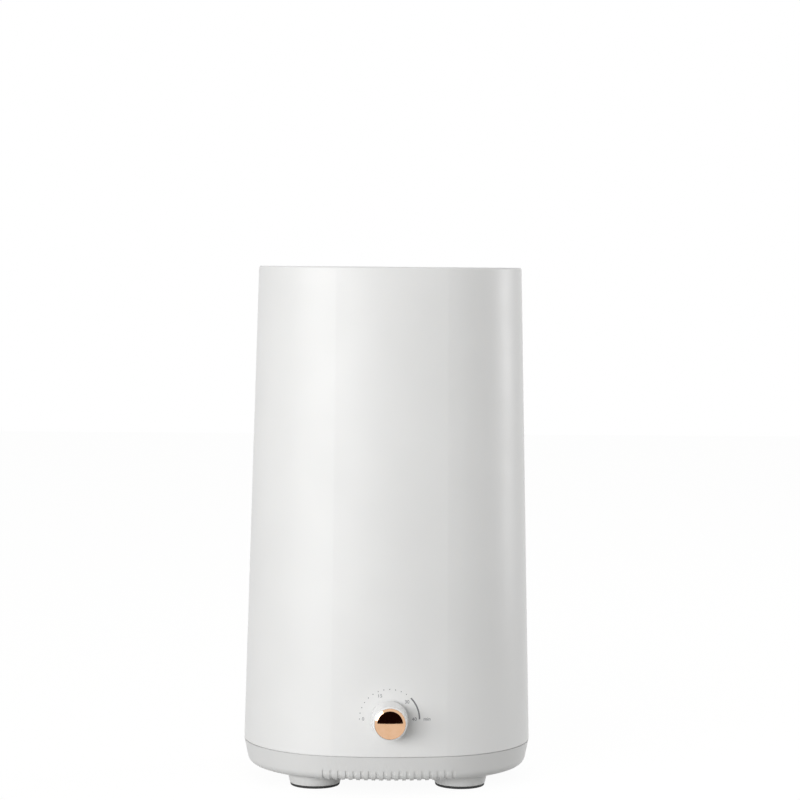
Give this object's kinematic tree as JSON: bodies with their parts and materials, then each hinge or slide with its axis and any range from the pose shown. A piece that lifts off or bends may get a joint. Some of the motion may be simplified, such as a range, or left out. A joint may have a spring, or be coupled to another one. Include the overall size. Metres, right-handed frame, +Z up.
{
  "type": "cutlery sterilizer",
  "caption": "Tall oval countertop sterilizer and dryer, open at the top, with a knife rack, chopstick basket, UV lamp, hot air fan and a timer dial on the front.",
  "frame": {"origin": "on the table, in the plane of the foot pads, under the middle of the oval body", "axes": "+Z up, -Y towards the front where the dial is, +X to the right seen from the front"},
  "size_m": [0.164, 0.145, 0.293],
  "materials": {
    "shell_white": "moulded white plastic, fine satin gloss",
    "foot_plastic": "moulded white plastic",
    "pad_rubber": "matt dark grey rubber",
    "knob_white": "moulded white plastic, gloss",
    "cap_rose_gold": "polished rose gold plating",
    "steel": "zinc plated",
    "brass": "plain brass",
    "movement_plastic": "natural nylon",
    "liner_white": "moulded heat resistant plastic",
    "seal_silicone": "translucent white silicone",
    "insert_white": "moulded pale grey plastic",
    "guard_steel": "brushed stainless steel",
    "reflector_aluminium": "bright rolled aluminium",
    "lamp_base_white": "white ceramic filled plastic",
    "lamp_glass": "clear quartz glass",
    "fan_black": "black moulded plastic",
    "copper_winding": "enamelled copper winding",
    "heater_phenolic": "dark phenolic",
    "heater_aluminium": "aluminium fins",
    "gland_rubber": "white soft plastic",
    "board_green": "green circuit board",
    "component_black": "black moulded case",
    "lead_insulation": "white silicone insulation"
  },
  "bodies": {
    "housing": {"air_cap": "liner_white", "ballast_lead": "lead_insulation", "ballast_screws": "steel", "base_pan": "shell_white", "board_components": "component_black", "board_screws": "steel", "chamber_liner": "liner_white", "control_board": "board_green", "cord_gland": "gland_rubber", "fan_frame": "fan_black", "fan_lead": "lead_insulation", "fan_screws": "steel", "fan_stator": "copper_winding", "foot_front_left": "foot_plastic", "foot_front_right": "foot_plastic", "foot_pad_front_left": "pad_rubber", "foot_pad_front_right": "pad_rubber", "foot_pad_rear_left": "pad_rubber", "foot_pad_rear_right": "pad_rubber", "foot_rear_left": "foot_plastic", "foot_rear_right": "foot_plastic", "foot_screws": "steel", "heater_core": "heater_aluminium", "heater_frame": "heater_phenolic", "heater_leads": "lead_insulation", "lamp_ballast": "component_black", "lamp_base": "lamp_base_white", "lamp_guard": "guard_steel", "lamp_leads": "lead_insulation", "lamp_nut": "brass", "lamp_reflector": "reflector_aluminium", "outer_shell": "shell_white", "rim_seal": "seal_silicone", "thermal_cutout": "steel", "timer_case": "movement_plastic", "timer_leads": "lead_insulation", "timer_plate": "steel", "timer_screws": "steel", "timer_terminals": "brass", "uv_lamp": "lamp_glass"},
    "dial": {"timer_knob": "knob_white", "knob_cap": "cap_rose_gold", "timer_shaft": "steel", "spring_barrel": "brass"},
    "fan_rotor": {"fan_rotor": "fan_black"},
    "tray": {"drip_tray": "insert_white"},
    "knife_rack": {"knife_cage": "insert_white", "knife_guide": "insert_white"},
    "basket": {"chopstick_basket": "insert_white"}
  },
  "joints": [
    {"name": "dial_turn", "type": "hinge", "parent": "housing", "child": "dial", "pos_m": [0, -0.072, 0.0434], "axis": [0, 1, 0], "range_deg": [0, 180]},
    {"name": "fan_spin", "type": "hinge", "parent": "housing", "child": "fan_rotor", "pos_m": [0, -0.002, 0.074], "axis": [0, 0, 1], "continuous": true},
    {"name": "tray_lift", "type": "slide", "parent": "housing", "child": "tray", "axis": [0, 0, 1], "range_m": [0, 0.2]},
    {"name": "knife_rack_lift", "type": "slide", "parent": "tray", "child": "knife_rack", "axis": [0, 0, 1], "range_m": [0, 0.2]},
    {"name": "basket_lift", "type": "slide", "parent": "tray", "child": "basket", "axis": [0, 0, 1], "range_m": [0, 0.2]}
  ]
}
